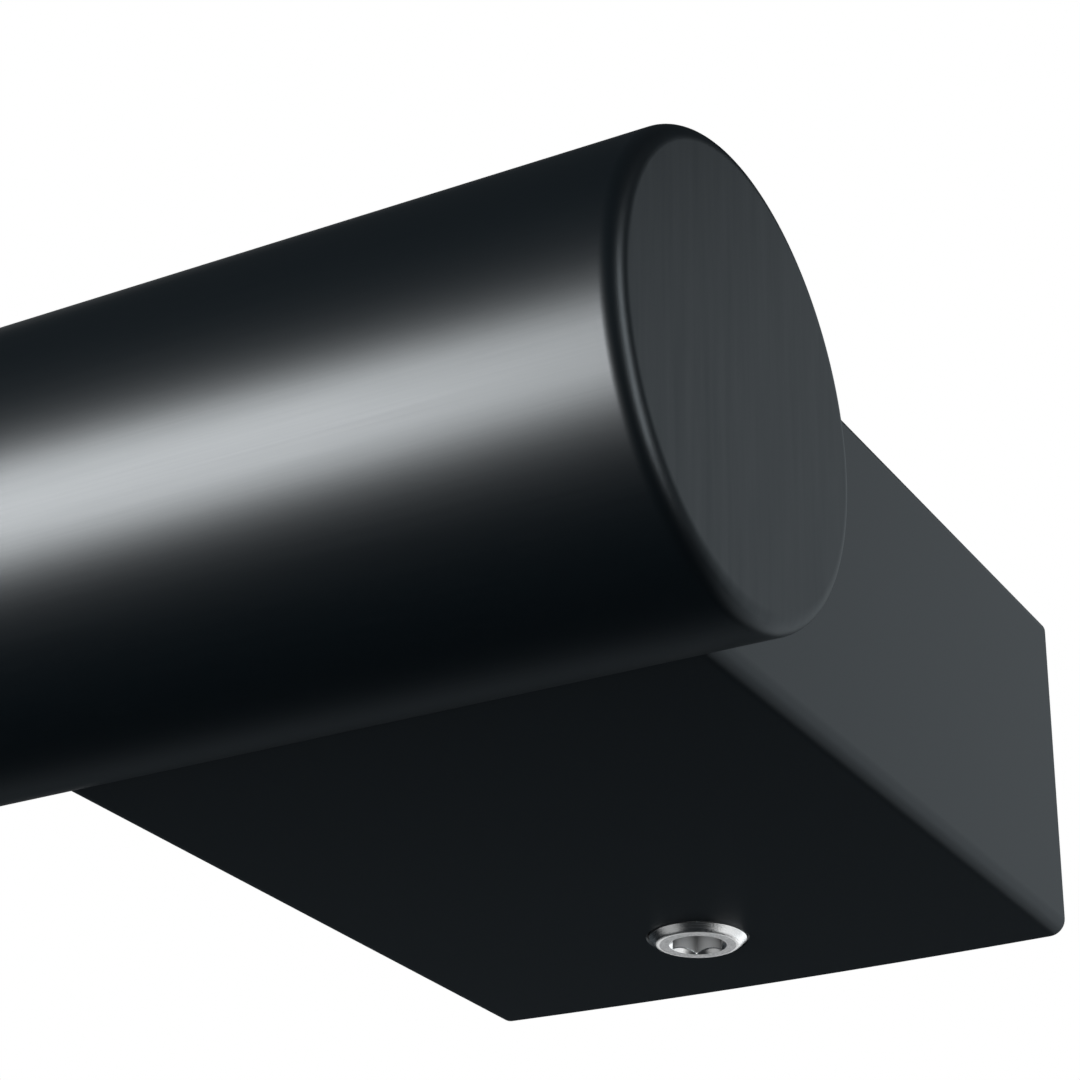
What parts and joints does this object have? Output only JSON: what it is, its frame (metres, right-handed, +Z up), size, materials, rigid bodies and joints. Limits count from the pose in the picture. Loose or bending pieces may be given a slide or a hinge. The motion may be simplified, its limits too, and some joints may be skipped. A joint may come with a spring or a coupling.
{
  "type": "grab bar",
  "caption": "Round grab bar with flat closed ends on rectangular wall posts, each locked over a hidden bracket by a set screw from below.",
  "frame": {"origin": "in the wall plane, midway between the two posts, at the height of the bar's axis", "axes": "+X along the bar to the user's right, +Y from the user into the wall, +Z up"},
  "size_m": [0.4, 0.0665, 0.025],
  "materials": {
    "black_coat": "satin black coat over finely brushed steel",
    "bright_steel": "turned stainless steel",
    "plain_steel": "plain stainless steel",
    "zinc_plated_steel": "milled steel, zinc plated"
  },
  "bodies": {
    "root": {"bar_tube": "black_coat", "end_disc_left": "black_coat", "post_left": "black_coat", "nut_plate_left": "plain_steel", "clamp_plate_left": "plain_steel", "wall_bracket_left": "zinc_plated_steel", "set_screw_left": "bright_steel", "post_screw_left_inner": "plain_steel", "lock_washer_left_inner": "plain_steel", "post_screw_left_outer": "plain_steel", "lock_washer_left_outer": "plain_steel", "end_disc_right": "black_coat", "post_right": "black_coat", "nut_plate_right": "plain_steel", "clamp_plate_right": "plain_steel", "wall_bracket_right": "zinc_plated_steel", "set_screw_right": "bright_steel", "post_screw_right_inner": "plain_steel", "lock_washer_right_inner": "plain_steel", "post_screw_right_outer": "plain_steel", "lock_washer_right_outer": "plain_steel"}
  },
  "joints": []
}
